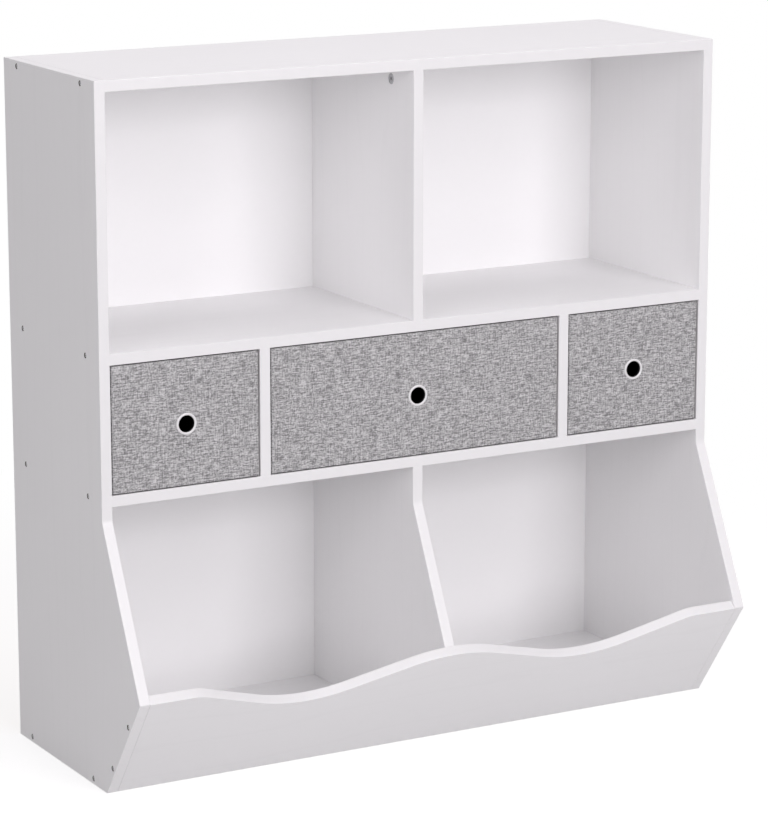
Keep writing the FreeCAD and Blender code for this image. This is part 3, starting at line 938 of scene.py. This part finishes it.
def stitch_row(name, low, high):
    """Running stitches along the four inner sides of the rim, under its top."""
    rows = []
    for axis in (0, 1):
        start = low[axis] + RIM_WIDTH + STITCH_CORNER
        length = high[axis] - RIM_WIDTH - STITCH_CORNER - start
        count = int(length / STITCH_PITCH)
        for side in (low[1 - axis] + RIM_WIDTH, high[1 - axis] - RIM_WIDTH):
            place = [side, side, high.z - STITCH_LEVEL]
            place[axis] = start + (length - STITCH_PITCH * (count - 1)) / 2
            size = list(STITCH_SIZE)
            size[axis] = STITCH_LENGTH
            row = added("stitch", "uv_sphere", segments=6, ring_count=4, radius=1.0,
                        location=place, scale=size)
            apply_modifier(row, "ARRAY", count=count, use_relative_offset=False,
                           use_constant_offset=True,
                           constant_offset_displace=[STITCH_PITCH * (axis == other)
                                                     for other in range(3)])
            rows.append(row)
    piece = joined(rows, name + "_stitches")
    bpy.ops.object.shade_smooth()
    return piece


def lip(radius, half, depth, rise, steps, flatness):
    """Points (radius, depth) of a half-round lip about its mean radius, its half width across."""
    turns = [math.pi * step / steps for step in range(steps + 1)]
    return [(radius + half * math.cos(turn), depth + rise * math.sin(turn) ** flatness)
            for turn in turns]


def pull_ring(name, x, front, z):
    """Snap-in ring, turned about Y: a half-round lip in front, a barrel, a lip inside."""
    profile = lip(*FRONT_LIP) + [(EYELET_BORE, end) for end in BARREL_ENDS] + lip(*REAR_LIP)
    profile += [(SLEEVE_RADIUS, SLEEVE_DEPTH), (SLEEVE_RADIUS, 0.0)]
    mesh = bpy.data.meshes.new(name + "_ring")
    mesh.from_pydata([(x + radius, front + depth, z) for radius, depth in profile],
                     [(index, (index + 1) % len(profile)) for index in range(len(profile))], [])
    piece = placed(name + "_ring", mesh)
    with editing(piece):
        bpy.ops.mesh.spin(steps=72, angle=math.radians(360), center=(x, front, z),
                          axis=(0, 1, 0))
        bpy.ops.mesh.select_all(action="SELECT")
        bpy.ops.mesh.remove_doubles(threshold=WELD)
        bpy.ops.mesh.normals_make_consistent(inside=False)
    smooth(piece, 40)
    return piece


for number, drawer in enumerate(DRAWERS):
    low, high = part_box(drawer + "_cover")
    seed = FIRST_SEED + SEED_STEP * number
    x, z = (low.x + high.x) / 2, low.z + EYELET_RISE
    cover = cloth_cover(drawer, low, high, seed)
    bag = bag_lining(drawer, *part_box(drawer + "_lining"), seed)
    for wall in (cover, bag):
        cut_away(wall, added("eyelet_hole", "cylinder", vertices=48, radius=HOLE_RADIUS,
                             depth=HOLE_LENGTH, location=(x, low.y, z),
                             rotation=(math.radians(90), 0, 0)))
    dress(cover, LINEN, LINING_AND_FOLD_SHADE)
    # The bottom and the downward turn of the fold take the charcoal lining: painted shade, the
    # dark line under the drawer's front edge.
    for polygon in cover.data.polygons:
        if polygon.center.z < low.z + FOLD_RADIUS and polygon.normal.z < SHADE_FOLD_TURN:
            polygon.material_index = 1
    stand_for(cover, drawer + "_cover", drawer)
    dress(bag, LINING_AND_FOLD_SHADE)
    stand_for(bag, drawer + "_lining", drawer)

    stitches = stitch_row(drawer, low, high)
    dress(stitches, STITCH)
    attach(stitches, drawer)

    ring = pull_ring(drawer, x, low.y, z)
    dress(ring, RING_WHITE, RING_SHADE)
    # Behind its front face the ring is near-black, as painted shade inside the bore.
    for polygon in ring.data.polygons:
        polygon.material_index = int(polygon.center.y > low.y + ON_FACE)
    stand_for(ring, drawer + "_eyelet", drawer)

    for board in ("front", "back", "left", "right", "base"):
        refinish(drawer + "_" + board + "_board", GREY_BOARD)


# Stage, light and camera
#
# A pale floor that reads as white to the camera and keeps the cabinet's soft shadow, even
# light from all round, and large soft lamps: the main one low in front, so that it reaches
# the backs of the bays, and weaker ones higher, at both sides, overhead and from behind.

FLOOR_SIZE, FLOOR_LEVEL, FLOOR_GREY, FLOOR_LIFT = 60, -0.0003, 0.46, 0.68
WHITE_FROM, WHITE_TO = 0.6, 1.6
WORLD_LEVEL = 0.21
LIGHT_TINT = (1.0, 0.972, 1.0)
LAMP_AIM = Vector((0, 0, 0.45))
LAMPS = {  # azimuth and elevation in degrees, distance, width, height, watts
    "front_lamp": (5, 14, 5.0, 3.2, 1.8, 108),
    "high_lamp": (10, 32, 5.0, 2.5, 2.0, 41),
    "left_lamp": (-60, 15, 5.0, 2.5, 2.5, 63),
    "right_lamp": (85, 12, 5.0, 2.0, 2.0, 36),
    "top_lamp": (0, 89, 3.85, 3.0, 3.0, 60),
    "rear_lamp": (170, 0, 5.0, 2.0, 0.8, 95)}
CAMERA_PLACE = (-2.2007, -3.9292, 1.4662)
CAMERA_YAW, CAMERA_PITCH, CAMERA_LENS, SENSOR_WIDTH = 29.239, 12.898, 147.24, 36.0


def seen_directly(tree):
    """1 for rays from the camera, and for those that gloss or glass passes on."""
    path = shader(tree, "LightPath").outputs
    either = reckon(tree, "MAXIMUM", path["Is Camera Ray"], path["Is Glossy Ray"])
    return reckon(tree, "MAXIMUM", either, path["Is Transmission Ray"])


def studio_floor():
    """Pale grey paint; far from the cabinet the camera sees plain white."""
    material, tree, surface = finish_named("studio_floor")
    tree.nodes.remove(surface)
    distance = shader(tree, "VectorMath", {0: own_place(tree)}, operation="LENGTH")
    far = ranged(tree, distance.outputs["Value"], (0.0, 1.0), (WHITE_FROM, WHITE_TO),
                 interpolation_type="SMOOTHSTEP")
    direct = seen_directly(tree)
    paint = shader(tree, "BsdfDiffuse", {"Color": (FLOOR_GREY, FLOOR_GREY, FLOOR_GREY, 1)})
    glow = shader(tree, "Emission", {"Strength": reckon(tree, "MULTIPLY", direct, FLOOR_LIFT)})
    near = shader(tree, "AddShader", {0: paint.outputs["BSDF"], 1: glow.outputs["Emission"]})
    plain = shader(tree, "Emission", {"Strength": 1.0})
    mixed = shader(tree, "MixShader", {"Fac": reckon(tree, "MULTIPLY", far, direct),
                                       1: near.outputs["Shader"],
                                       2: plain.outputs["Emission"]})
    fill(tree, tree.nodes["Material Output"], {"Surface": mixed.outputs["Shader"]})
    return material


def soft_lamp(name, azimuth, elevation, distance, width, height, power):
    """A large rectangular lamp, placed by its angles as seen from the cabinet's middle."""
    turn, rise = math.radians(azimuth), math.radians(elevation)
    place = LAMP_AIM + distance * Vector((math.sin(turn) * math.cos(rise),
                                          -math.cos(turn) * math.cos(rise), math.sin(rise)))
    lamp = bpy.data.lights.new(name, "AREA")
    lamp.shape, lamp.size, lamp.size_y, lamp.energy = "RECTANGLE", width, height, power
    lamp.color = LIGHT_TINT
    holder = placed(name, lamp)
    holder.location = place
    holder.rotation_euler = (LAMP_AIM - place).to_track_quat("-Z", "Y").to_euler()
    holder.visible_camera = False


floor = added("studio_floor", "plane", size=FLOOR_SIZE, location=(0, 0, FLOOR_LEVEL))
dress(floor, studio_floor())

world = bpy.context.scene.world or bpy.data.worlds.new("studio")
bpy.context.scene.world = world
world.use_nodes = True
sky = world.node_tree
fill(sky, sky.nodes["Background"], {
    "Strength": ranged(sky, seen_directly(sky), (WORLD_LEVEL, 1.0)), "Color": (*LIGHT_TINT, 1)})

for name, settings in LAMPS.items():
    soft_lamp(name, *settings)

camera = placed("camera", bpy.data.cameras.new("camera"))
camera.data.lens, camera.data.sensor_width = CAMERA_LENS, SENSOR_WIDTH
camera.location = CAMERA_PLACE
camera.rotation_euler = (math.radians(90 - CAMERA_PITCH), 0, math.radians(-CAMERA_YAW))
bpy.context.scene.camera = camera
bpy.context.scene.view_settings.view_transform = "Standard"

bpy.context.view_layer.update()
